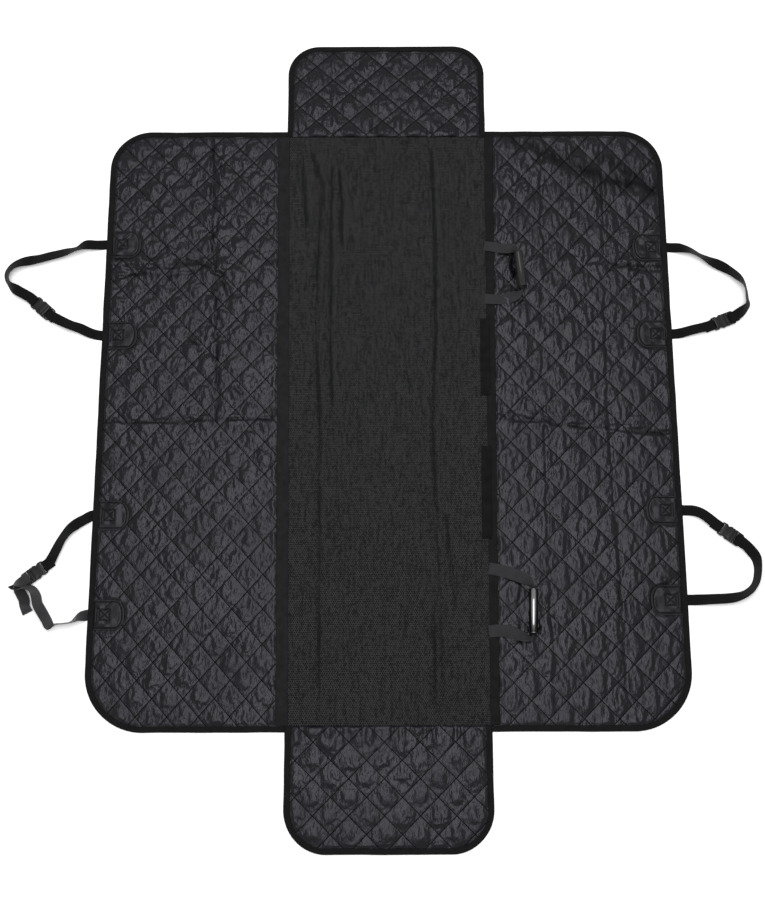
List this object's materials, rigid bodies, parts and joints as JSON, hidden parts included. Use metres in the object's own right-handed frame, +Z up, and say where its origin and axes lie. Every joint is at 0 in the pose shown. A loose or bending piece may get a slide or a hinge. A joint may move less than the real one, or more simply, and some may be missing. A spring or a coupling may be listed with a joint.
{
  "type": "hammock car seat cover",
  "caption": "Flat quilted hammock cover for a car's back seat, with a mesh seat panel, side flaps, buckled headrest straps and seat anchor tubes.",
  "frame": {"origin": "on the surface that the cover lies on, under the middle of the mesh seat panel", "axes": "+X from the front headrest side to the rear backrest side, +Y across the car towards the far side flap, +Z up out of the face that carries the seat anchors"},
  "size_m": [1.8019, 1.97, 0.0335],
  "materials": {
    "front_quilting": "matte woven polyester, quilted",
    "rear_quilting": "matte woven polyester, quilted and finely crinkled",
    "flap_quilting": "matte woven polyester, quilted",
    "seat_mesh": "matte knitted mesh",
    "binding": "matte woven tape",
    "closure": "matte hook tape",
    "patch": "matte woven polyester with box stitching",
    "webbing": "matte woven webbing",
    "buckle": "satin moulded plastic",
    "tube": "glossy extruded plastic"
  },
  "bodies": {
    "root": {"front_quilted_panel": "front_quilting", "rear_quilted_panel": "rear_quilting", "far_side_flap": "flap_quilting", "near_side_flap": "flap_quilting", "mesh_seat_panel": "seat_mesh", "front_quilted_panel_binding": "binding", "rear_quilted_panel_binding": "binding", "far_side_flap_binding": "binding", "near_side_flap_binding": "binding", "front_seam_tape": "binding", "rear_seam_tape": "binding", "belt_slot_closure_1": "closure", "belt_slot_closure_2": "closure", "front_patch_1": "patch", "front_patch_2": "patch", "front_patch_3": "patch", "front_patch_4": "patch", "rear_patch_1": "patch", "rear_patch_2": "patch", "rear_patch_3": "patch", "rear_patch_4": "patch", "front_far_strap_a": "webbing", "front_far_strap_b": "webbing", "front_near_strap_a": "webbing", "front_near_strap_b": "webbing", "rear_far_strap_a": "webbing", "rear_far_strap_b": "webbing", "rear_near_strap_a": "webbing", "rear_near_strap_b": "webbing", "far_anchor_webbing": "webbing", "near_anchor_webbing": "webbing", "front_far_buckle_socket": "buckle", "front_far_buckle_plug": "buckle", "front_near_buckle_socket": "buckle", "front_near_buckle_plug": "buckle", "rear_far_buckle_socket": "buckle", "rear_far_buckle_plug": "buckle", "rear_near_buckle_socket": "buckle", "rear_near_buckle_plug": "buckle", "far_anchor_tube": "tube", "near_anchor_tube": "tube"}
  },
  "joints": []
}
